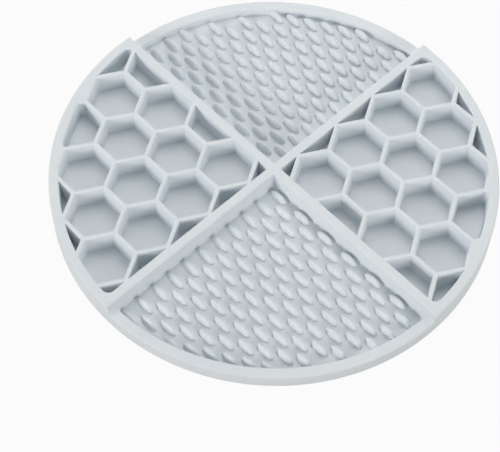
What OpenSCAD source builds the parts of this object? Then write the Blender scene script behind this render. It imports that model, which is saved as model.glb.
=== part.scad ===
// Round slow feeder mat of soft silicone, in four quarters that a cross of dividers parts:
// honeycomb pockets to the left and right, trays of leaf-shaped nubs at the front and rear.
// Millimetres, +Z up, origin at the middle of the flat underside, front towards -Y.

/* [Mat] */
// Outer diameter of the mat
mat_d = 200; // [160:1:260]
// Thickness of the floor under the pockets and trays
floor_t = 4.3; // [2:0.1:6]
// Height of the raised rim, the dividers and the honeycomb above the underside
high_h = 13.3; // [11:0.1:20]
// Draft of the moulded walls, in degrees
draft = 5; // [1:0.5:8]
// Rounding of the outer edges, top and bottom
edge_r = 0.8; // [0.2:0.1:1.2]

/* [Rim] */
// Width of the raised rim along its top
high_rim_w = 4.3; // [3:0.1:8]
// Width of the low rim along its top
low_rim_w = 4.8; // [3:0.1:8]
// Height of the low rim above the underside
low_h = 8.1; // [7.3:0.1:10]
// Fillet where the low rim climbs to a divider
step_r = 3; // [1:0.1:4]
// Rounding of the inside corners where a rim meets a divider
corner_r = 3.2; // [1:0.1:6]

/* [Dividers] */
// Width of a divider along its top
divider_w = 4.2; // [3:0.1:8]

/* [Honeycomb] */
// Distance between the middles of neighbouring cells
cell_pitch = 24; // [16:0.5:32]
// Thickness of a cell wall along its top
cell_wall = 1.8; // [1:0.1:4]
// Turn of a cell's corner from +X, in degrees
cell_turn = 15; // [0:1:59]
// Middle of the cell beside the mat's centre in the left quarter, along X
cell_x = -20.9; // [-40:0.1:-10]
// Middle of the same cell along Y
cell_y = 2.5; // [-15:0.1:15]
// Bite into the quarter that a cut-off cell needs to become a pocket and not stay solid
cell_bite = 1.6; // [0.5:0.1:4]
// Width of the hoop that ties the cell walls together along the raised rim, as part of that rim's width
hoop_w = 0.8; // [0.5:0.1:1.5]

/* [Nubs] */
// Distance between the middles of nubs that lie side by side
nub_across = 8.8; // [7.5:0.1:14]
// Distance between the middles of nubs that lie end to end
nub_along = 14.5; // [13:0.1:24]
// Length of a nub
nub_l = 9.8; // [6:0.1:12]
// Width of a nub
nub_w = 3.6; // [2:0.1:4.6]
// Radius of the arcs along a nub's sides
nub_arc = 10.5; // [8:0.5:30]
// Height of a nub above the floor
nub_h = 3.2; // [1.8:0.1:3.8]
// Radius of a nub's back from end to end
nub_back = 7; // [6:0.5:20]
// Middle of one nub in the front tray, along X
front_nub_x = -2; // [-10:0.1:10]
// Middle of the same nub along Y
front_nub_y = -55.3; // [-70:0.1:-40]
// How far inside the rim's foot the middle of a nub has to lie in the front tray
front_nub_in = 0.1; // [0:0.1:4]
// Middle of one nub in the rear tray, along X
rear_nub_x = -0.4; // [-10:0.1:10]
// Middle of the same nub along Y
rear_nub_y = 62.2; // [40:0.1:70]
// How far inside the rim's foot the middle of a nub has to lie in the rear tray
rear_nub_in = 1.4; // [0:0.1:4]

/* [Hidden] */
$fn = 96;
silicone = "#cdd5d9";
// Directions in which the quarters open
right = 0;
rear = 90;
left = 180;
front = 270;
// Turn of the dividers from the quarters' directions
diagonal = 45;
// How far a cutting shape runs past the face that it cuts
over = 1;
mat_r = mat_d / 2;
high_r = mat_r - high_rim_w;
low_r = mat_r - low_rim_w;
wall_h = high_h - floor_t;
slope = tan(draft);
divider_foot = divider_w + 2 * wall_h * slope;
divider_low = divider_w + 2 * (high_h - low_h) * slope;
// From a pocket's middle to its sides, along its top
pocket_a = (cell_pitch - cell_wall) / 2;
// From a hexagon's middle to its corners, for one unit to its sides
hex = 1 / cos(30);
// Inner radius of the low rim at the floor
low_foot_r = low_r - (low_h - floor_t) * slope;
// Rows of cells or nubs to try each way from the first one
rows_of_cells = ceil(mat_d / cell_pitch);
rows_of_nubs = ceil(mat_d / nub_across);

function toward(a) = [cos(a), sin(a)];

// How far a point is inside both dividers' middles and the radius r, in a quarter that opens in a direction
function depths(p, opens, r) = [p * toward(opens - diagonal), p * toward(opens + diagonal), r - norm(p)];

// Points of a pattern in rows: steps of pitch in direction a, and every other row set off by half a step
function pattern(first, pitch, row, a, count) =
    [for (i = [-count:count], j = [-count:count])
        first + pitch * (i + j / 2) * toward(a) + j * row * toward(a + 90)];

cells = [for (p = pattern([cell_x, cell_y], cell_pitch, cell_pitch * cos(30), cell_turn + 30, rows_of_cells))
    if (min(depths(p, left, high_r)) > cell_bite - pocket_a) p];

// How far a nub reaches from its middle in direction a
function reach(a) = norm([nub_l / 2 * cos(a + diagonal), nub_w / 2 * sin(a + diagonal)]);

// How far a nub reaches towards the two dividers and the rim
function reaches(p, opens) = [reach(opens - diagonal), reach(opens + diagonal), reach(atan2(p.y, p.x))];

// One quarter of the space around the mat
module quarter(opens)
    rotate(opens) linear_extrude(high_h + over) polygon([[0, 0], [mat_d, -mat_d], [mat_d, mat_d]]);

// The mat's outline from the floor up to height h, rounded along its top edge
module drum(h)
    translate([0, 0, floor_t]) rotate_extrude() {
        square([mat_r, h - floor_t - edge_r]);
        square([mat_r - edge_r, h - floor_t]);
        translate([mat_r - edge_r, h - floor_t - edge_r]) circle(edge_r);
    }

// Sets a section that is drawn across a divider along both dividers
module along_dividers()
    for (a = [diagonal, -diagonal])
        rotate(a) rotate([90, 0, 90]) linear_extrude(mat_d, center = true) children();

module dividers()
    translate([0, 0, floor_t]) along_dividers()
        polygon([[-divider_foot / 2, 0], [divider_foot / 2, 0],
                 [divider_w / 2, wall_h], [-divider_w / 2, wall_h]]);

// Fillets on both sides of the dividers, at the level of the low rim
module steps()
    translate([0, 0, low_h]) along_dividers() difference() {
        translate([-divider_low / 2 - step_r, -over]) square([divider_low + 2 * step_r, step_r + over]);
        for (side = [-1, 1])
            translate([side * (divider_low / 2 + step_r), step_r]) circle(step_r);
    }

// What fills an inside corner between a rim and a divider, drawn along that divider
module corner(r, h) {
    across = divider_w / 2 + (high_h - h) * slope + corner_r;
    along = sqrt(pow(r - corner_r, 2) - pow(across, 2));
    middle = [along, across];
    linear_extrude(high_h + 2 * over) difference() {
        polygon([middle, [along, 0], [mat_r, 0], middle * mat_r / norm(middle)]);
        translate(middle) circle(corner_r);
    }
}

// The drafted space inside a rim that has inner radius r at height h, with rounded corners
module bay(opens, r, h)
    difference() {
        translate([0, 0, floor_t])
            cylinder(h = wall_h + over,
                     r1 = r - (h - floor_t) * slope,
                     r2 = r + (high_h + over - h) * slope);
        rotate(opens - diagonal) corner(r, h);
        rotate(opens + diagonal) mirror([0, 1, 0]) corner(r, h);
    }

module raised_rim(opens)
    difference() {
        intersection() {
            drum(high_h);
            quarter(opens);
        }
        bay(opens, high_r + hoop_w, high_h);
        dividers();
    }

module low_rim(opens)
    difference() {
        intersection() {
            drum(high_h);
            quarter(opens);
            union() {
                drum(low_h);
                steps();
            }
        }
        bay(opens, low_r, low_h);
        dividers();
    }

module pocket()
    rotate(cell_turn)
        cylinder(h = wall_h + over,
                 r1 = (pocket_a - wall_h * slope) * hex,
                 r2 = (pocket_a + over * slope) * hex,
                 $fn = 6);

// Honeycomb of the left quarter: a solid quarter with the pockets cut out of it, inside its hoop
module honeycomb()
    difference() {
        intersection() {
            drum(high_h);
            bay(left, high_r + hoop_w, high_h);
            quarter(left);
        }
        dividers();
        intersection() {
            bay(left, high_r, high_h);
            for (p = cells) translate([p.x, p.y, floor_t]) pocket();
        }
    }

// A leaf-shaped nub along +X: straight sides under a back that is round about a line on the floor
module nub()
    intersection() {
        linear_extrude(nub_h + over) intersection() {
            circle(nub_l / 2);
            intersection_for (side = [-1, 1])
                translate([0, side * (nub_arc - nub_w / 2)]) circle(nub_arc);
        }
        rotate([0, 90, 0]) rotate_extrude() intersection() {
            translate([nub_h - nub_back, 0]) circle(nub_back);
            translate([0, -nub_l]) square([nub_h, 2 * nub_l]);
        }
    }

module nub_at(p) translate([p.x, p.y, floor_t]) rotate(-diagonal) nub();

// Nubs of one tray, cut off where they run into the rim or a divider, and none with its middle on their feet
module nub_field(first, opens, inside)
    for (p = pattern(first, nub_across, nub_along / 2, diagonal, rows_of_nubs)) {
        room = depths(p, opens, low_foot_r) - divider_foot / 2 * [1, 1, 0];
        ends = reaches(p, opens);
        if (min(room - ends) > 0)
            nub_at(p);
        else if (min(room.x, room.y, room.z - inside) > 0)
            difference() {
                intersection() {
                    nub_at(p);
                    bay(opens, low_r, low_h);
                }
                dividers();
            }
    }

module base_plate()
    color(silicone) rotate_extrude() {
        square([mat_r - edge_r, floor_t]);
        translate([0, edge_r]) square([mat_r, floor_t - edge_r]);
        translate([mat_r - edge_r, edge_r]) circle(edge_r);
    }

module cross_divider()
    color(silicone) intersection() {
        dividers();
        drum(high_h);
    }

module raised_rim_left() color(silicone) raised_rim(left);
module raised_rim_right() color(silicone) raised_rim(right);
module low_rim_front() color(silicone) low_rim(front);
module low_rim_rear() color(silicone) low_rim(rear);
module honeycomb_left() color(silicone) honeycomb();
module honeycomb_right() color(silicone) rotate(180) honeycomb();
module nub_field_front() color(silicone) nub_field([front_nub_x, front_nub_y], front, front_nub_in);
module nub_field_rear() color(silicone) nub_field([rear_nub_x, rear_nub_y], rear, rear_nub_in);

base_plate();
cross_divider();
raised_rim_left();
raised_rim_right();
low_rim_front();
low_rim_rear();
honeycomb_left();
honeycomb_right();
nub_field_front();
nub_field_rear();
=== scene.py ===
import math
import bmesh
import bpy
import numpy as np
from mathutils import Matrix, Vector
from mathutils.geometry import delaunay_2d_cdt


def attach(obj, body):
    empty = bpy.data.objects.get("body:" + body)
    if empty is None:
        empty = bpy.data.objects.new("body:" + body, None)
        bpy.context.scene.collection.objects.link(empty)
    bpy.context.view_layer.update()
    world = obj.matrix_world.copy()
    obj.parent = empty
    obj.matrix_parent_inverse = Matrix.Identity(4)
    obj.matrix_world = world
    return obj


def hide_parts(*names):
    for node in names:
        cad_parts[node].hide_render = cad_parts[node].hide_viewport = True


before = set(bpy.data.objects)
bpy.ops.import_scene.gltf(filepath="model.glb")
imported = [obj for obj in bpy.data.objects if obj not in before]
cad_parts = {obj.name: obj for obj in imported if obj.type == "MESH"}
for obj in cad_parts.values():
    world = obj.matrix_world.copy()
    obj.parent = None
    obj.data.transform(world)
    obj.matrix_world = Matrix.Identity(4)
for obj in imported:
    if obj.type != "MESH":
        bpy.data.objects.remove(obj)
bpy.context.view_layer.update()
mm = 0.001
print("frame loaded:", len(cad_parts), "nodes")

# sizes that all regions of the moulding share, in millimetres and degrees
moulding = {
    "radius": 100.0,
    "floor": 4.3,
    "high": 13.3,
    "low": 8.1,
    "draft": 5.0,
    "dividerWidth": 4.2,
    "raisedRimWidth": 4.3,
    "lowRimWidth": 4.8,
    "edge": 0.8,            # soft rounding of the top edges
    "foot": 0.35,           # small fillet where a wall meets a floor
    "roundSteps": 5,        # faces round such an edge or fillet
    "topStrip": 0.06,       # flat strip before an edge starts to fall
    "floorStrip": 0.12,     # and after a fillet has come down
    "corner": 3.2,          # rounding where a rim meets a divider
    "seam": 1.2,            # where a honeycomb's block starts, from the middle of a divider
    "rimSeam": 3.0,         # and where it ends, from the outside
    "sink": 0.2,            # how far a region reaches into the floor plate
    "lift": 0.01,           # keeps a fillet's last strip clear of the floor plate
}
diagonal = 45                                                       # turn of the dividers from the axes
slope = math.tan(math.radians(moulding["draft"]))                   # lean of a wall, for its height
roundReach = math.tan(math.radians(90 - moulding["draft"]) / 2)     # of a rounding, for its radius
under = moulding["floor"] - moulding["sink"]                        # where regions end, in the floor plate
trayFloor = moulding["floor"] + moulding["lift"]                    # where their fillets end
edgeRows = moulding["roundSteps"] + 2                               # rows of a wall over its round edge


class Wire:
    # a socket that can be used in sums
    def __init__(self, board, socket):
        self.board = board
        self.socket = socket

    def combine(self, operation, first, second):
        return self.board.make("ShaderNodeMath", {"operation": operation}, {0: first, 1: second})

    def __add__(self, other):
        return self.combine("ADD", self, other)

    def __radd__(self, other):
        return self.combine("ADD", other, self)

    def __sub__(self, other):
        return self.combine("SUBTRACT", self, other)

    def __rsub__(self, other):
        return self.combine("SUBTRACT", other, self)

    def __mul__(self, other):
        return self.combine("MULTIPLY", self, other)

    def __rmul__(self, other):
        return self.combine("MULTIPLY", other, self)

    def __truediv__(self, other):
        return self.combine("DIVIDE", self, other)

    def __rtruediv__(self, other):
        return self.combine("DIVIDE", other, self)


class Board:
    # a node tree; make() adds a node and gives back one of its outputs
    def __init__(self, tree):
        self.tree = tree

    def make(self, kind, settings=None, sockets=None, output=0):
        node = self.tree.nodes.new(kind)
        for name, value in (settings or {}).items():
            if name == "stops":
                self.setStops(node.color_ramp, value)
            else:
                setattr(node, name, value)
        for name, value in (sockets or {}).items():
            if isinstance(value, Wire):
                self.tree.links.new(value.socket, node.inputs[name])
            else:
                node.inputs[name].default_value = value
        if len(node.outputs) == 0:
            return node
        return Wire(self, node.outputs[output])

    def larger(self, first, second):
        return self.make("ShaderNodeMath", {"operation": "MAXIMUM"}, {0: first, 1: second})

    def setStops(self, ramp, stops):
        while len(ramp.elements) < len(stops):
            ramp.elements.new(1.0)
        for element, (place, colour) in zip(ramp.elements, stops):
            element.position = place
            element.color = colour


def emptyBoard(owner):
    owner.use_nodes = True
    owner.node_tree.nodes.clear()
    return Board(owner.node_tree)


def linear(r, g, b):
    # a colour as it looks on screen, 0 to 255, as the shader wants it
    parts = []
    for c in (r / 255, g / 255, b / 255):
        parts.append(c / 12.92 if c <= 0.04045 else ((c + 0.055) / 1.055) ** 2.4)
    return (*parts, 1.0)


silicone = {
    "deep": linear(210, 219, 225),      # thin cast variation, from deep
    "colour": linear(214, 222, 227),
    "pale": linear(217, 224, 229),      # to pale
    "stops": (0.32, 0.5, 0.68),         # where these three lie in the pigment's pattern
    "cloudSize": 38.0,                  # mm, soft clouds in the pigment
    "cloudShare": 0.75,                 # of the pattern, and the rest is speckle
    "speckleSize": 3.0,                 # mm
    "grainSize": 0.35,                  # mm, fine texture of the mould
    "grainDepth": 0.012,                # mm
    "grainStrength": 0.5,
    "waveSize": 7.0,                    # mm, slow waviness of soft rubber
    "waveDepth": 0.012,                 # mm
    "waveStrength": 1.0,
    "roughness": 0.56,
    "cloudRoughness": 0.1,              # how far the clouds change it
    "grainRoughness": 0.08,             # and the grain
    "ior": 1.41,
}


def makeSilicone():
    material = bpy.data.materials.new("paleSilicone")
    board = emptyBoard(material)
    place = board.make("ShaderNodeTexCoord", output="Object")

    def noise(size, detail, roughness=0.5):
        return board.make("ShaderNodeTexNoise", None, {
            "Vector": place, "Scale": 1 / (size * mm), "Detail": detail, "Roughness": roughness})

    clouds = noise(silicone["cloudSize"], detail=3.0, roughness=0.55)
    speckle = noise(silicone["speckleSize"], detail=2.0)
    grain = noise(silicone["grainSize"], detail=2.0)
    wave = noise(silicone["waveSize"], detail=1.0)
    noiseMiddle = 0.5
    pattern = clouds * silicone["cloudShare"] + speckle * (1 - silicone["cloudShare"])
    shades = [silicone[name] for name in ("deep", "colour", "pale")]
    stops = list(zip(silicone["stops"], shades))
    colour = board.make("ShaderNodeValToRGB", {"stops": stops}, {"Fac": pattern})
    fineBump = board.make("ShaderNodeBump", None, {
        "Strength": silicone["grainStrength"], "Distance": silicone["grainDepth"] * mm, "Height": grain})
    softBump = board.make("ShaderNodeBump", None, {
        "Strength": silicone["waveStrength"], "Distance": silicone["waveDepth"] * mm,
        "Height": wave, "Normal": fineBump})
    cloudy = (clouds - noiseMiddle) * silicone["cloudRoughness"]
    grainy = (grain - noiseMiddle) * silicone["grainRoughness"]
    rough = silicone["roughness"] + cloudy + grainy
    surface = board.make("ShaderNodeBsdfPrincipled", None, {
        "Base Color": colour, "Roughness": rough, "Normal": softBump, "IOR": silicone["ior"]})
    board.make("ShaderNodeOutputMaterial", None, {"Surface": surface})
    return material


siliconeMaterial = makeSilicone()
print("silicone material made")


def toward(degrees):
    # a direction along the floor
    return Vector((math.cos(math.radians(degrees)), math.sin(math.radians(degrees))))


def span(first, last, count):
    # even steps from first to last, with both ends
    return [first + (last - first) * k / count for k in range(count + 1)]


# how the meshes are cleaned, in millimetres and degrees
meshing = {
    "sameSpot": 0.0002,     # corners this near each other become one
    "tinyEdge": 0.0001,     # edges shorter than this go
    "sheetGap": 0.000001,   # corners this near each other count as one while a flat face is filled
    "sharp": 34.0,          # faces that meet at more than this get a sharp edge
}


class Shell:
    # collects corners and faces in millimetres and makes one closed piece of them
    def __init__(self):
        self.corners = []
        self.faces = []

    def ring(self, points, z):
        first = len(self.corners)
        heights = z if isinstance(z, list) else [z] * len(points)
        self.corners += [(p[0], p[1], h) for p, h in zip(points, heights)]
        return list(range(first, len(self.corners)))

    def band(self, lower, upper):
        for i in range(len(lower)):
            j = (i + 1) % len(lower)
            self.faces.append((lower[i], lower[j], upper[j], upper[i]))

    def bands(self, rings):
        for lower, upper in zip(rings, rings[1:]):
            self.band(lower, upper)

    def fan(self, ring, tip):
        for i in range(len(ring)):
            self.faces.append((ring[i], ring[(i + 1) % len(ring)], tip))

    def sheet(self, outer, holes):
        # flat face inside one outline and outside the holes
        loops = [outer] + holes
        used = [k for loop in loops for k in loop]
        flat = [Vector(self.corners[k][:2]) for k in used]
        groups = []
        first = 0
        for loop in loops:
            groups.append(list(range(first, first + len(loop))))
            first += len(loop)
        made = delaunay_2d_cdt(flat, [], groups, 0, meshing["sheetGap"])
        source = [used[origins[0]] for origins in made[3]]
        for corners, inside in zip(made[2], made[5]):
            if inside == [0]:
                self.faces.append(tuple(source[k] for k in corners))

    def piece(self, name, turn=0):
        mesh = bpy.data.meshes.new(name)
        mesh.from_pydata([Vector(c) * mm for c in self.corners], [], self.faces)
        return settlePiece(mesh, name, turn)


def settlePiece(mesh, name, turn=0):
    form = bmesh.new()
    form.from_mesh(mesh)
    bmesh.ops.rotate(form, verts=form.verts, matrix=Matrix.Rotation(math.radians(turn), 3, "Z"))
    bmesh.ops.remove_doubles(form, verts=form.verts, dist=meshing["sameSpot"] * mm)
    bmesh.ops.dissolve_degenerate(form, edges=form.edges, dist=meshing["tinyEdge"] * mm)
    bmesh.ops.recalc_face_normals(form, faces=form.faces)
    openEdges = sum(1 for e in form.edges if len(e.link_faces) != 2)
    form.to_mesh(mesh)
    form.free()
    mesh.shade_smooth()
    mesh.set_sharp_from_angle(angle=math.radians(meshing["sharp"]))
    mesh.materials.clear()
    mesh.materials.append(siliconeMaterial)
    piece = bpy.data.objects.new(name, mesh)
    bpy.context.scene.collection.objects.link(piece)
    print(name, "faces", len(mesh.polygons), "open edges", openEdges)
    return piece


def standFor(piece, node):
    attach(piece, "root")
    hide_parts(node)


def wallRows(top, floor, edge, foot):
    # from the flat top over a round edge, down a drafted wall and through a fillet to the floor:
    # each row is how far it lies inside the hollow's outline, and its height
    rows = [(-edge * roundReach - moulding["topStrip"], top)]
    for angle in span(90, moulding["draft"], moulding["roundSteps"]):
        a = math.radians(angle)
        rows.append((edge * (math.cos(a) - roundReach), top - edge + edge * math.sin(a)))
    depth = (top - floor) * slope
    for angle in span(180 + moulding["draft"], 270, moulding["roundSteps"]):
        a = math.radians(angle)
        rows.append((depth + foot * (roundReach + math.cos(a)), floor + foot + foot * math.sin(a)))
    rows.append((depth + foot * roundReach + moulding["floorStrip"], floor))
    return rows


basePlate = {
    "segments": 360,
    "edge": 0.8,            # rounding of the edge under the mat
    "edgeSteps": 5,
    "strip": 0.1,           # flat strip before it
}


def makeBasePlate():
    shell = Shell()
    around = [toward(a) for a in span(0, 360, basePlate["segments"])[:-1]]
    rows = []
    for angle in span(-90, 0, basePlate["edgeSteps"]):
        a = math.radians(angle)
        reach = moulding["radius"] - basePlate["edge"] * (1 - math.cos(a))
        rows.append((reach, basePlate["edge"] * (1 + math.sin(a))))
    rows.insert(0, (rows[0][0] - basePlate["strip"], 0.0))
    rows.append((moulding["radius"], moulding["floor"]))
    rings = [shell.ring([p * r for p in around], z) for r, z in rows]
    shell.bands(rings)
    shell.faces.append(tuple(rings[0]))
    shell.faces.append(tuple(rings[-1]))
    return shell.piece("basePlate")


standFor(makeBasePlate(), "base_plate")

crossDivider = {
    "apexRadius": 0.2,      # where its arms meet in a tray
    "apexSteps": 6,
    "endCorner": 0.8,       # at the ends of its arms
    "cornerSteps": 4,
    "endSteps": 3,
}


def dividerOutline(inset):
    # the cross seen from above; the tray sides move with the inset, the honeycomb sides stay
    half = moulding["dividerWidth"] / 2 + inset
    seam = moulding["seam"]
    r = moulding["radius"] + min(inset, 0)
    bend = crossDivider["apexRadius"]
    corner = crossDivider["endCorner"]
    reach = math.sqrt(r * r - half * half)
    tip = math.asin(half / r)
    near = Vector((reach - corner, half))
    sharp = Vector((reach, half))
    far = r * Vector((math.cos(tip - corner / r), math.sin(tip - corner / r)))
    rounded = []
    for s in span(0, 1, crossDivider["cornerSteps"]):
        rounded.append(near * (1 - s) ** 2 + sharp * 2 * s * (1 - s) + far * s * s)
    end = []
    for a in span(math.asin(seam / r), -(tip - corner / r), crossDivider["endSteps"])[:-1]:
        end.append(r * Vector((math.cos(a), -math.sin(a))))
    apex = []
    for a in span(270, 180, crossDivider["apexSteps"]):
        apex.append(Vector((half + bend, half + bend)) + bend * toward(a))
    firstArm = end + rounded[::-1]
    secondArm = [Vector((p.y, p.x)) for p in firstArm[::-1]]
    outline = []
    for turn in (diagonal, diagonal + 180):
        u = toward(turn)
        v = toward(turn + 90)
        hub = toward(turn - diagonal) * seam * math.sqrt(2)
        outline.append(hub)
        outline += [u * p.x + v * p.y for p in firstArm + apex + secondArm]
    return outline


def makeCrossDivider():
    shell = Shell()
    rows = wallRows(moulding["high"], trayFloor, moulding["edge"], moulding["foot"])
    rows.append((rows[-1][0], under))
    rings = [shell.ring(dividerOutline(d), z) for d, z in rows]
    shell.bands(rings[::-1])
    shell.sheet(rings[0], [])
    shell.sheet(rings[-1], [])
    return shell.piece("crossDivider")


standFor(makeCrossDivider(), "cross_divider")

raisedRim = {"segments": 96}


def makeRaisedRim(name, turn):
    # swept from one divider to the next, first made for the quarter that opens to the right
    shell = Shell()
    inner = moulding["radius"] - moulding["rimSeam"]
    rows = wallRows(moulding["high"], under, moulding["edge"], 0.0)
    profile = [(inner, under), (inner, moulding["high"])]
    profile += [(moulding["radius"] + min(d, 0), z) for d, z in rows[:edgeRows]]
    profile.append((moulding["radius"], under))
    sections = []
    for share in span(-1, 1, raisedRim["segments"]):
        points = []
        for r, z in profile:
            end = math.radians(diagonal) - math.asin(moulding["seam"] / r)
            points.append((r * math.cos(share * end), r * math.sin(share * end)))
        sections.append(shell.ring(points, [z for r, z in profile]))
    shell.bands(sections)
    shell.faces.append(tuple(sections[0]))
    shell.faces.append(tuple(sections[-1]))
    return shell.piece(name, turn)


standFor(makeRaisedRim("raisedRimRight", 0), "raised_rim_right")
standFor(makeRaisedRim("raisedRimLeft", 180), "raised_rim_left")

lowRim = {
    "segments": 120,
    "step": 3.0,            # fillet that climbs to a divider
    "stepRows": 10,
    "bury": 0.15,           # how far the fillet reaches into the divider
    "end": 1.3,             # where the rim ends, from the middle of the divider
    "lead": 0.004,          # radians from the fillet's end to the even part of the rim, outside
}


def lowRimHalf(inner):
    # sections of the fillet from a divider that lies along +X: inner point, its direction into the tray,
    # bearing of the outer side, height of the top
    low, high = moulding["low"], moulding["high"]
    radius, corner = moulding["radius"], moulding["corner"]
    step, bury, end = lowRim["step"], lowRim["bury"], lowRim["end"]
    wall = moulding["dividerWidth"] / 2 + (high - low) * slope
    across = wall - bury + corner
    along = math.sqrt((inner - corner) ** 2 - across ** 2)
    half = [((along, end), (0, 1), math.asin(end / radius), low + step)]
    away = [-bury] + [step * (1 - math.sin(a)) for a in span(math.pi / 2, 0, lowRim["stepRows"])]
    for s in away:
        g = math.asin((s + bury) / corner - 1)
        point = (along + corner * math.cos(g), across + corner * math.sin(g))
        climb = step - math.sqrt(step ** 2 - (step - min(max(s, 0), step)) ** 2)
        half.append((point, (-math.cos(g), -math.sin(g)), math.asin(point[1] / radius), low + climb))
    return half, math.atan2(across, along)


def makeLowRim(name, turn):
    # drawn with one divider along +X and the other along +Y, so the tray opens between them
    shell = Shell()
    low = moulding["low"]
    inner = moulding["radius"] - moulding["lowRimWidth"]
    half, tip = lowRimHalf(inner)
    last = half[-1][2] + lowRim["lead"]
    middle = []
    for share in span(0, 1, lowRim["segments"]):
        a = tip + (math.pi / 2 - 2 * tip) * share
        b = last + (math.pi / 2 - 2 * last) * share
        middle.append(((inner * math.cos(a), inner * math.sin(a)), (-math.cos(a), -math.sin(a)), b, low))
    other = [((p[1], p[0]), (n[1], n[0]), math.pi / 2 - b, z) for p, n, b, z in half[::-1]]
    rows = wallRows(low, trayFloor, moulding["edge"], moulding["foot"])
    edge, wall = rows[:edgeRows], rows[edgeRows:]
    sections = []
    for p, n, b, top in half + middle + other:
        rise = top - low
        inside = [(rows[-1][0], under)] + wall[::-1]
        inside += [(d - rise * slope, z + rise) for d, z in edge[::-1]]
        points = [(p[0] + n[0] * d, p[1] + n[1] * d) for d, z in inside]
        heights = [z for d, z in inside]
        outside = [(moulding["radius"] + min(d, 0), z + rise) for d, z in edge]
        outside.append((moulding["radius"], under))
        points += [(r * math.cos(b), r * math.sin(b)) for r, z in outside]
        heights += [z for r, z in outside]
        sections.append(shell.ring(points, heights))
    shell.bands(sections)
    shell.faces.append(tuple(sections[0]))
    shell.faces.append(tuple(sections[-1]))
    return shell.piece(name, turn)


standFor(makeLowRim("lowRimRear", diagonal), "low_rim_rear")
standFor(makeLowRim("lowRimFront", diagonal + 180), "low_rim_front")
print("plate, dividers and rims made")

honeycomb = {
    "pitch": 24.0,
    "wall": 1.8,
    "turn": 15.0,
    "first": (-20.9, 2.5),  # middle of the cell beside the mat's centre
    "rows": 9,              # rows of cells to try each way from it
    "bite": 1.6,            # a cell cut down to less than this stays solid
    "corner": 0.4,          # rounding of a pocket's upright corners
    "smallCorner": 0.15,    # and of a small pocket's, which has a smaller top edge too
    "smallEdge": 0.35,
    "smallShare": 0.5,      # largest share of a whole cell that a small pocket has
    "start": 40.0,          # half the diagonal of the square that a pocket is cut from
    "rimCut": 0.75,         # degrees between the straight cuts that make a pocket's side along the rim
    "rimCuts": 24,          # such cuts to each side
    "cornerCuts": 9,        # cuts that round a corner between rim and divider
    "arcStep": 14.0,        # degrees, longest step round an upright corner
    "leastStep": 0.0001,    # shorter sides of a pocket are left out
    "lift": 0.02,           # keeps a pocket's floor clear of the floor plate
    "leastDepth": 2.0,      # of a cut-off pocket whose walls meet
    "leastWidth": 0.4,      # of its floor
    "depthSteps": 14,       # depths to try for it
    "spacing": 1.3,         # longest step along a pocket's outline
    "spacingInset": 0.1,    # how far inside its outline these steps are measured
}
cellSide = honeycomb["pitch"] / 2 - honeycomb["wall"] / 2
highRimInside = moulding["radius"] - moulding["raisedRimWidth"]


def clipped(points, normal, limit):
    # what a convex outline keeps on the near side of a straight cut
    kept = []
    for a, b in zip(points, points[1:] + points[:1]):
        da = a.dot(normal) - limit
        db = b.dot(normal) - limit
        if da <= 0:
            kept.append(a)
        if da * db < 0:
            kept.append(a.lerp(b, da / (da - db)))
    return kept


def grown(points, r):
    # a convex outline pushed out by r, with round corners
    count = len(points)
    steps = [points[(i + 1) % count] - points[i] for i in range(count)]
    points = [p for p, s in zip(points, steps) if s.length > honeycomb["leastStep"]]
    count = len(points)
    outline = []
    for i in range(count):
        before = points[i] - points[i - 1]
        after = points[(i + 1) % count] - points[i]
        start = math.degrees(math.atan2(before.y, before.x)) - 90
        swing = math.degrees(before.angle_signed(after, 0)) * -1
        for a in span(start, start + swing, max(1, math.ceil(swing / honeycomb["arcStep"]))):
            outline.append(points[i] + toward(a) * r)
    return outline


def pocketOutline(cell, inset, corner):
    # a hexagon in the left quarter, cut off by the dividers, the rim and the corners between them
    gap = inset + corner
    points = [cell + toward(diagonal + 90 * k) * honeycomb["start"] for k in range(4)]
    for k in range(6):
        normal = toward(honeycomb["turn"] + 30 + 60 * k)
        points = clipped(points, normal, cell.dot(normal) + cellSide - gap)
    for a in (diagonal, -diagonal):
        points = clipped(points, toward(a), -moulding["dividerWidth"] / 2 - gap)
    bearing = math.degrees(math.atan2(cell.y, cell.x))
    for k in range(-honeycomb["rimCuts"], honeycomb["rimCuts"] + 1):
        points = clipped(points, toward(bearing + k * honeycomb["rimCut"]), highRimInside - gap)
    across = moulding["dividerWidth"] / 2 + moulding["corner"]
    along = math.sqrt((highRimInside - moulding["corner"]) ** 2 - across ** 2)
    for arm, turn in ((180 - diagonal, 90), (180 + diagonal, -90)):
        bend = toward(arm) * along + toward(arm + turn) * across
        radial = math.degrees(math.atan2(across, along)) * turn / 90
        for a in span(arm - turn, arm + radial, honeycomb["cornerCuts"]):
            points = clipped(points, toward(a), bend.dot(toward(a)) + moulding["corner"] - gap)
    if len(points) < 3:
        return None
    return grown(points, corner)


def crossings(outline, centre, angles):
    # where rays from the centre meet the outline
    here = np.array([p - centre for p in outline])
    there = np.roll(here, -1, axis=0)
    rayX, rayY = np.cos(angles)[:, None], np.sin(angles)[:, None]
    before = rayX * here[:, 1] - rayY * here[:, 0]
    after = rayX * there[:, 1] - rayY * there[:, 0]
    hit = np.argmax((before <= 0) & (after > 0), axis=1)
    rays = np.arange(len(angles))
    share = (before[rays, hit] / (before[rays, hit] - after[rays, hit]))[:, None]
    return here[hit] + share * (there[hit] - here[hit]) + np.array(centre)


def area(outline):
    return sum(a.x * b.y - a.y * b.x for a, b in zip(outline, outline[1:] + outline[:1])) / 2


def narrowest(outline):
    # least distance between corners that lie across from each other
    opposite = outline[len(outline) // 2:]
    return min((a - b).length for a, b in zip(outline, opposite))


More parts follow.
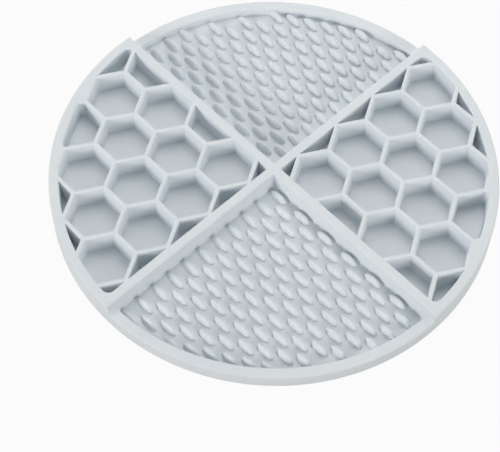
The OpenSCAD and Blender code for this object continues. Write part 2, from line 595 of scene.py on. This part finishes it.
def pocketRows(cell):
    # a pocket's rows and the rounding of its corners; a cut-off one gets a higher floor if its walls meet
    mouth = pocketOutline(cell, 0, honeycomb["smallCorner"])
    if mouth is None:
        return None, None
    wholeCell = math.sqrt(12) * cellSide ** 2       # a hexagon's area
    small = area(mouth) < honeycomb["smallShare"] * wholeCell
    corner = honeycomb["smallCorner"] if small else honeycomb["corner"]
    edge = honeycomb["smallEdge"] if small else moulding["edge"]
    lowest = moulding["floor"] + honeycomb["lift"]
    highest = moulding["high"] - honeycomb["leastDepth"]
    for floor in span(lowest, highest, honeycomb["depthSteps"]):
        rows = wallRows(moulding["high"], floor, edge, moulding["foot"])
        deepest = pocketOutline(cell, rows[-1][0], corner)
        if deepest and narrowest(deepest) > honeycomb["leastWidth"]:
            return rows, corner
    return None, None


def pocketRings(cell):
    # a pocket's outlines from its mouth to its floor, with their points on the same rays from its middle
    rows, corner = pocketRows(cell)
    if rows is None:
        return None
    deepest = pocketOutline(cell, rows[-1][0], corner)
    centre = sum(deepest, Vector((0, 0))) / len(deepest)
    stepped = pocketOutline(cell, honeycomb["spacingInset"], corner)
    angles = []
    for a, b in zip(stepped, stepped[1:] + stepped[:1]):
        for s in span(0, 1, max(1, math.ceil((b - a).length / honeycomb["spacing"])))[:-1]:
            way = a.lerp(b, s) - centre
            angles.append(math.atan2(way.y, way.x))
    angles = np.array(sorted(angles))
    return [(crossings(pocketOutline(cell, d, corner), centre, angles), z) for d, z in rows]


def honeycombCells():
    # middles of the cells that reach into the left quarter
    cells = []
    u = toward(honeycomb["turn"] + 30)
    v = toward(honeycomb["turn"] + 120)
    count = honeycomb["rows"]
    for i in range(-count, count + 1):
        for j in range(-count, count + 1):
            step = (i + j / 2) * u + j * math.sqrt(0.75) * v
            p = Vector(honeycomb["first"]) + honeycomb["pitch"] * step
            rooms = [p.dot(toward(180 + side * diagonal)) for side in (-1, 1)]
            rooms.append(highRimInside - p.length)
            if min(rooms) > honeycomb["bite"] - cellSide:
                cells.append(p)
    return cells


def makeHoneycomb(name, turn):
    # the left quarter as a block with blind pockets, turned half round for the right one
    shell = Shell()
    r = moulding["radius"] - moulding["rimSeam"]
    end = math.radians(diagonal) - math.asin(moulding["seam"] / r)
    border = [Vector((-moulding["seam"] * math.sqrt(2), 0))]
    border += [Vector((-r * math.cos(a), r * math.sin(a))) for a in span(end, -end, raisedRim["segments"])]
    top = shell.ring(border, moulding["high"])
    bottom = shell.ring(border, under)
    shell.band(bottom, top)
    shell.sheet(bottom, [])
    mouths = []
    for cell in honeycombCells():
        rings = pocketRings(cell)
        if rings is None:
            continue
        loops = [shell.ring(points, z) for points, z in rings]
        shell.bands(loops[::-1])
        shell.faces.append(tuple(loops[-1]))
        mouths.append(loops[0])
    shell.sheet(top, mouths)
    print(name, "pockets", len(mouths))
    return shell.piece(name, turn)


standFor(makeHoneycomb("honeycombLeft", 0), "honeycomb_left")
standFor(makeHoneycomb("honeycombRight", 180), "honeycomb_right")
print("honeycombs made")

nubs = {
    "across": 8.8,              # distance between nubs side by side
    "along": 14.5,              # and end to end
    "length": 9.8,
    "width": 3.6,
    "height": 3.2,
    "stations": (0.0, 0.42, 0.75, 0.95),    # sections towards an end, as shares of half its length
    "arc": 6,                   # faces across its back
    "taper": 0.5,               # how its outline closes to the ends, 0.5 is an ellipse and 1 a leaf
    "fall": 0.55,               # and how its back comes down to them
    "sink": 0.05,               # how far it reaches into the floor plate
    "rows": 25,                 # rows of nubs to try, and nubs in a row
    "front": (-2.0, -55.3),     # middle of one nub in each tray
    "rear": (-0.4, 62.2),
    "frontInside": 0.1,         # how far inside the rim's foot the middle of a nub has to lie
    "rearInside": 1.4,
    "wallHide": 0.6,            # where a nub that runs into a divider ends, from the divider's middle
}


def makeNubForm():
    # one nub along +X: rounded sections that shrink to a point on the floor at both ends
    shell = Shell()
    half = nubs["length"] / 2
    back = [toward(a) for a in span(0, 180, nubs["arc"])]
    places = [-share for share in nubs["stations"][:0:-1]] + list(nubs["stations"])
    sections = []
    for share in places:
        left = 1 - share * share
        wide = nubs["width"] / 2 * left ** nubs["taper"]
        tall = nubs["height"] * left ** nubs["fall"]
        points = [(share * half, wide * b.x) for b in back]
        heights = [tall * b.y - nubs["sink"] for b in back]
        sections.append(shell.ring(points, heights))
    shell.bands(sections)
    for section, end in ((sections[0], -half), (sections[-1], half)):
        tip = shell.ring([(end, 0)], -nubs["sink"])
        shell.fan(section, tip[0])
    return shell.piece("nubForm")


def makeNubTree():
    tree = bpy.data.node_groups.new("nubField", "GeometryNodeTree")
    face = tree.interface
    face.new_socket("Geometry", in_out="OUTPUT", socket_type="NodeSocketGeometry")
    for name, kind in (("Geometry", "Geometry"), ("Nub", "Object"), ("Across", "Float"), ("Along", "Float"),
                       ("First", "Vector"), ("Turn", "Float"), ("Rows", "Int"), ("First Wall", "Vector"),
                       ("Second Wall", "Vector"), ("Wall Room", "Float"), ("Rim Room", "Float"),
                       ("Wall Hide", "Float"), ("Rim Hide", "Float"), ("Silicone", "Material")):
        face.new_socket(name, in_out="INPUT", socket_type="NodeSocket" + kind)
    board = Board(tree)
    group = tree.nodes.new("NodeGroupInput")

    def given(name):
        return Wire(board, group.outputs[name])

    def dot(a, b):
        return board.make("ShaderNodeVectorMath", {"operation": "DOT_PRODUCT"}, {0: a, 1: b}, "Value")

    def length(a):
        return board.make("ShaderNodeVectorMath", {"operation": "LENGTH"}, {0: a}, "Value")

    def above(a, b):
        return board.make("ShaderNodeMath", {"operation": "GREATER_THAN"}, {0: a, 1: b})

    def scaled(a, factor):
        return board.make("ShaderNodeVectorMath", {"operation": "SCALE"}, {0: a, "Scale": factor})

    # rows of points, every other row set off by half a step
    row = given("Along") / 2
    steps = given("Rows") - 1
    grid = board.make("GeometryNodeMeshGrid", None, {
        "Size X": given("Across") * steps, "Size Y": row * steps,
        "Vertices X": given("Rows"), "Vertices Y": given("Rows")})
    here = board.make("GeometryNodeInputPosition")
    y = board.make("ShaderNodeSeparateXYZ", None, {0: here}, "Y")
    number = board.make("ShaderNodeMath", {"operation": "ROUND"}, {0: y / row})
    odd = board.make("ShaderNodeMath", {"operation": "PINGPONG"}, {0: number, 1: 1.0})
    shift = board.make("ShaderNodeCombineXYZ", None, {"X": odd * given("Across") / 2})
    staggered = board.make("GeometryNodeSetPosition", None, {"Geometry": grid, "Offset": shift})
    rowTurn = board.make("ShaderNodeCombineXYZ", None, {"Z": given("Turn")})
    laid = board.make("GeometryNodeTransform", None, {
        "Geometry": staggered, "Translation": given("First"), "Rotation": rowTurn})

    # keep the points whose nub has its middle in the tray
    spot = board.make("ShaderNodeVectorMath", {"operation": "MULTIPLY"}, {0: here, 1: (1, 1, 0)})
    out = board.make("ShaderNodeVectorMath", {"operation": "NORMALIZE"}, {0: spot})
    inFirst = above(dot(spot, given("First Wall")), given("Wall Room"))
    inSecond = above(dot(spot, given("Second Wall")), given("Wall Room"))
    inRim = above(given("Rim Room"), length(spot))
    outside = 1 - inFirst * inSecond * inRim
    kept = board.make("GeometryNodeDeleteGeometry", {"domain": "POINT"}, {
        "Geometry": laid, "Selection": outside})

    # a nub on every point, and what runs into a wall or the rim ends inside it
    nub = board.make("GeometryNodeObjectInfo", None, {"Object": given("Nub")}, "Geometry")
    nubTurn = board.make("ShaderNodeCombineXYZ", None, {"Z": given("Turn") * -1})
    placed = board.make("GeometryNodeInstanceOnPoints", None, {
        "Points": kept, "Instance": nub, "Rotation": nubTurn})
    solid = board.make("GeometryNodeRealizeInstances", None, {"Geometry": placed})
    for wall in ("First Wall", "Second Wall"):
        short = board.larger(given("Wall Hide") - dot(here, given(wall)), 0.0)
        solid = board.make("GeometryNodeSetPosition", None, {
            "Geometry": solid, "Offset": scaled(given(wall), short)})
    long = board.larger(length(spot) - given("Rim Hide"), 0.0)
    solid = board.make("GeometryNodeSetPosition", None, {
        "Geometry": solid, "Offset": scaled(out, long * -1)})
    coated = board.make("GeometryNodeSetMaterial", None, {"Geometry": solid, "Material": given("Silicone")})
    tree.links.new(coated.socket, tree.nodes.new("NodeGroupOutput").inputs[0])
    return tree


def makeNubField(name, tree, form, first, inside, opens):
    # opens is the direction in which the tray opens, in degrees
    foot = moulding["dividerWidth"] / 2 + (moulding["high"] - moulding["floor"]) * slope
    rimFoot = moulding["radius"] - moulding["lowRimWidth"] - (moulding["low"] - moulding["floor"]) * slope
    values = {
        "Nub": form,
        "Across": nubs["across"] * mm,
        "Along": nubs["along"] * mm,
        "First": (first[0] * mm, first[1] * mm, moulding["floor"] * mm),
        "Turn": math.radians(diagonal),
        "Rows": nubs["rows"],
        "First Wall": (*toward(opens - diagonal), 0),
        "Second Wall": (*toward(opens + diagonal), 0),
        "Wall Room": foot * mm,
        "Rim Room": (rimFoot - inside) * mm,
        "Wall Hide": nubs["wallHide"] * mm,
        "Rim Hide": (moulding["radius"] - moulding["lowRimWidth"] / 2) * mm,
        "Silicone": siliconeMaterial,
    }
    carrier = bpy.data.objects.new(name + "Carrier", bpy.data.meshes.new(name + "Carrier"))
    bpy.context.scene.collection.objects.link(carrier)
    modifier = carrier.modifiers.new("nubs", "NODES")
    modifier.node_group = tree
    for item in tree.interface.items_tree:
        if item.in_out == "INPUT" and item.name in values:
            modifier[item.identifier] = values[item.name]
    shown = carrier.evaluated_get(bpy.context.evaluated_depsgraph_get())
    mesh = bpy.data.meshes.new_from_object(shown)
    bpy.data.objects.remove(carrier)
    return settlePiece(mesh, name)


nubForm = makeNubForm()
nubTree = makeNubTree()
nubFieldFront = makeNubField("nubFieldFront", nubTree, nubForm, nubs["front"], nubs["frontInside"], 270)
nubFieldRear = makeNubField("nubFieldRear", nubTree, nubForm, nubs["rear"], nubs["rearInside"], 90)
bpy.data.objects.remove(nubForm)
standFor(nubFieldFront, "nub_field_front")
standFor(nubFieldRear, "nub_field_rear")
print("nub fields made")

studio = {
    "floorSize": 6.0,           # m, from the middle to a side
    "floorDrop": 0.02,          # mm below the underside
    "floorColour": linear(174, 168, 164),
    "floorWhite": 0.95,         # share of white in what is seen of the floor, and the rest is its shadow
    "white": (1.0, 1.0, 1.0, 1.0),
    "ambient": 0.256,           # strength of the sky's light
    "skyColour": (0.96, 0.99, 1.0, 1.0),
    "lampColour": (1.0, 0.955, 0.925),
    "aim": (0.0, 0.0, 0.01),    # m, where the lamps point
    # name, degrees from +X towards +Y, degrees above the floor, distance and size in metres, power in watts
    "lamps": (
        ("frontLeftLamp", 213, 17, 1.5, 0.5, 12.2),
        ("frontRightLamp", 315, 17, 1.5, 0.7, 9.9),
        ("leftLamp", 180, 35, 1.2, 0.5, 0.5),
        ("topBackLamp", 80, 56, 1.0, 0.8, 5.35),
        ("lowBackRightLamp", 65, 7, 1.5, 0.4, 1.8),
        ("lowBackLeftLamp", 112, 7, 1.5, 0.4, 3.6),
    ),
}


def backgroundRay(board):
    # 1 for a ray that shows the background, straight, in gloss or through glass, and 0 for one that lights
    seen = board.make("ShaderNodeLightPath", output="Is Camera Ray")
    for name in ("Is Glossy Ray", "Is Transmission Ray"):
        seen = board.larger(seen, board.make("ShaderNodeLightPath", output=name))
    return seen


def makeFloor():
    mesh = bpy.data.meshes.new("studioFloor")
    s = studio["floorSize"]
    z = -studio["floorDrop"] * mm
    mesh.from_pydata([(-s, -s, z), (s, -s, z), (s, s, z), (-s, s, z)], [], [(0, 1, 2, 3)])
    material = bpy.data.materials.new("paleFloor")
    board = emptyBoard(material)
    paint = board.make("ShaderNodeBsdfDiffuse", None, {"Color": studio["floorColour"]})
    white = board.make("ShaderNodeEmission", None, {"Color": studio["white"], "Strength": 1.0})
    surface = board.make("ShaderNodeMixShader", None, {
        0: backgroundRay(board) * studio["floorWhite"], 1: paint, 2: white})
    board.make("ShaderNodeOutputMaterial", None, {"Surface": surface})
    mesh.materials.append(material)
    floor = bpy.data.objects.new("studioFloor", mesh)
    bpy.context.scene.collection.objects.link(floor)


def makeLamp(name, around, height, distance, size, power):
    flat = toward(around) * math.cos(math.radians(height))
    place = Vector((flat.x, flat.y, math.sin(math.radians(height)))) * distance
    lamp = bpy.data.lights.new(name, "AREA")
    lamp.shape = "DISK"
    lamp.size = size
    lamp.energy = power
    lamp.color = studio["lampColour"]
    holder = bpy.data.objects.new(name, lamp)
    holder.location = place
    holder.rotation_euler = (Vector(studio["aim"]) - place).to_track_quat("-Z", "Y").to_euler()
    bpy.context.scene.collection.objects.link(holder)


def makeSky():
    world = bpy.data.worlds.new("studioWorld")
    bpy.context.scene.world = world
    board = emptyBoard(world)
    light = board.make("ShaderNodeBackground", None, {
        "Color": studio["skyColour"], "Strength": studio["ambient"]})
    backdrop = board.make("ShaderNodeBackground", None, {"Color": studio["white"], "Strength": 1.0})
    sky = board.make("ShaderNodeMixShader", None, {0: backgroundRay(board), 1: light, 2: backdrop})
    board.make("ShaderNodeOutputWorld", None, {"Surface": sky})


makeFloor()
for lampValues in studio["lamps"]:
    makeLamp(*lampValues)
makeSky()
print("studio made")

camera = {
    "place": (-8.57, -353.88, 550.74),      # mm
    "elevation": 58.94,                     # degrees
    "around": 0.25,
    "roll": 1.33,
    "lens": 104.1,                          # mm, on a sensor of this width
    "sensor": 36.0,
    "clip": 0.01,                           # m
}


def makeCamera():
    around, rise, roll = (math.radians(camera[k]) for k in ("around", "elevation", "roll"))
    back = Vector((math.sin(around) * math.cos(rise), -math.cos(around) * math.cos(rise), math.sin(rise)))
    right = Vector((math.cos(around), math.sin(around), 0))
    down = (-back).cross(right)
    level = right * math.cos(roll) - down * math.sin(roll)      # right and down again, with the roll
    fall = right * math.sin(roll) + down * math.cos(roll)
    axes = Matrix((level, -fall, back)).transposed()
    data = bpy.data.cameras.new("photoCamera")
    data.lens = camera["lens"]
    data.sensor_width = camera["sensor"]
    data.clip_start = camera["clip"]
    holder = bpy.data.objects.new("photoCamera", data)
    holder.matrix_world = Matrix.Translation(Vector(camera["place"]) * mm) @ axes.to_4x4()
    bpy.context.scene.collection.objects.link(holder)
    bpy.context.scene.camera = holder


makeCamera()
bpy.context.scene.view_settings.view_transform = "Standard"
print("camera made")
